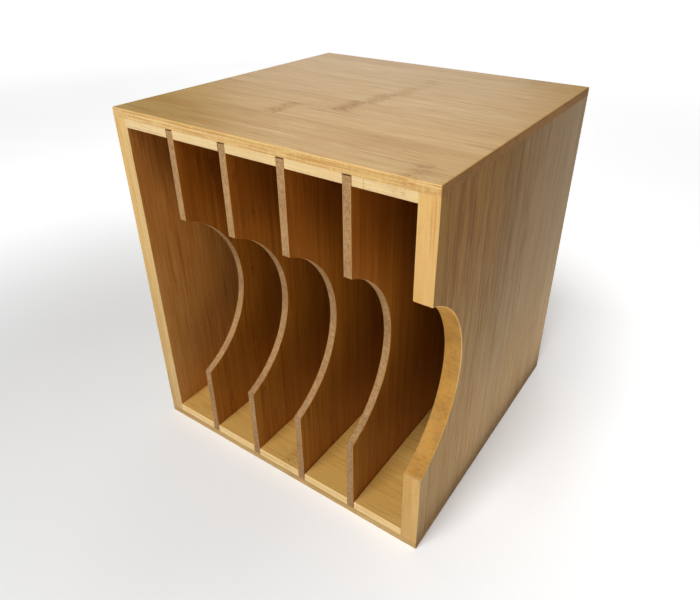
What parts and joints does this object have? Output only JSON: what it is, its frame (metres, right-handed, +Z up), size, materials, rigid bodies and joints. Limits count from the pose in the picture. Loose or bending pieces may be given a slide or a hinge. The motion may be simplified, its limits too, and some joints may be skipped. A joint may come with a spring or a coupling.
{
  "type": "desktop file sorter",
  "caption": "Small bamboo desktop sorter, open at the front, with upright slide-in dividers that have round finger cut-outs, for record sleeves, envelopes and papers.",
  "frame": {"origin": "middle of the underside, on the surface the sorter stands on", "axes": "+X to the right as a person faces the open front, +Y to the back, +Z up"},
  "size_m": [0.2, 0.195, 0.218],
  "materials": {
    "bamboo_outer_layer": "natural bamboo, satin lacquer, grain from side to side",
    "bamboo_inner_layer": "pale natural bamboo, satin lacquer, grain from side to side",
    "bamboo_side": "natural bamboo, satin lacquer, grain upright",
    "bamboo_back": "natural bamboo, satin lacquer, grain upright",
    "fibreboard_core": "raw medium-density fibreboard, matt sawn edge",
    "bamboo_veneer": "caramel bamboo veneer, satin lacquer, grain upright"
  },
  "bodies": {
    "case": {"bottom_outer_board": "bamboo_outer_layer", "top_outer_board": "bamboo_outer_layer", "left_side_panel": "bamboo_side", "right_side_panel": "bamboo_side", "back_panel": "bamboo_back", "bottom_slot_strip_1": "bamboo_inner_layer", "bottom_slot_strip_2": "bamboo_inner_layer", "bottom_slot_strip_3": "bamboo_inner_layer", "bottom_slot_strip_4": "bamboo_inner_layer", "bottom_slot_strip_5": "bamboo_inner_layer", "top_slot_strip_1": "bamboo_inner_layer", "top_slot_strip_2": "bamboo_inner_layer", "top_slot_strip_3": "bamboo_inner_layer", "top_slot_strip_4": "bamboo_inner_layer", "top_slot_strip_5": "bamboo_inner_layer"},
    "divider_1": {"divider_1_left_veneer": "bamboo_veneer", "divider_1_core": "fibreboard_core", "divider_1_right_veneer": "bamboo_veneer"},
    "divider_2": {"divider_2_left_veneer": "bamboo_veneer", "divider_2_core": "fibreboard_core", "divider_2_right_veneer": "bamboo_veneer"},
    "divider_3": {"divider_3_left_veneer": "bamboo_veneer", "divider_3_core": "fibreboard_core", "divider_3_right_veneer": "bamboo_veneer"},
    "divider_4": {"divider_4_left_veneer": "bamboo_veneer", "divider_4_core": "fibreboard_core", "divider_4_right_veneer": "bamboo_veneer"}
  },
  "joints": [
    {"name": "divider_1_slide", "type": "slide", "parent": "case", "child": "divider_1", "axis": [0, -1, 0], "range_m": [0, 0.195]},
    {"name": "divider_2_slide", "type": "slide", "parent": "case", "child": "divider_2", "axis": [0, -1, 0], "range_m": [0, 0.195]},
    {"name": "divider_3_slide", "type": "slide", "parent": "case", "child": "divider_3", "axis": [0, -1, 0], "range_m": [0, 0.195]},
    {"name": "divider_4_slide", "type": "slide", "parent": "case", "child": "divider_4", "axis": [0, -1, 0], "range_m": [0, 0.195]}
  ]
}
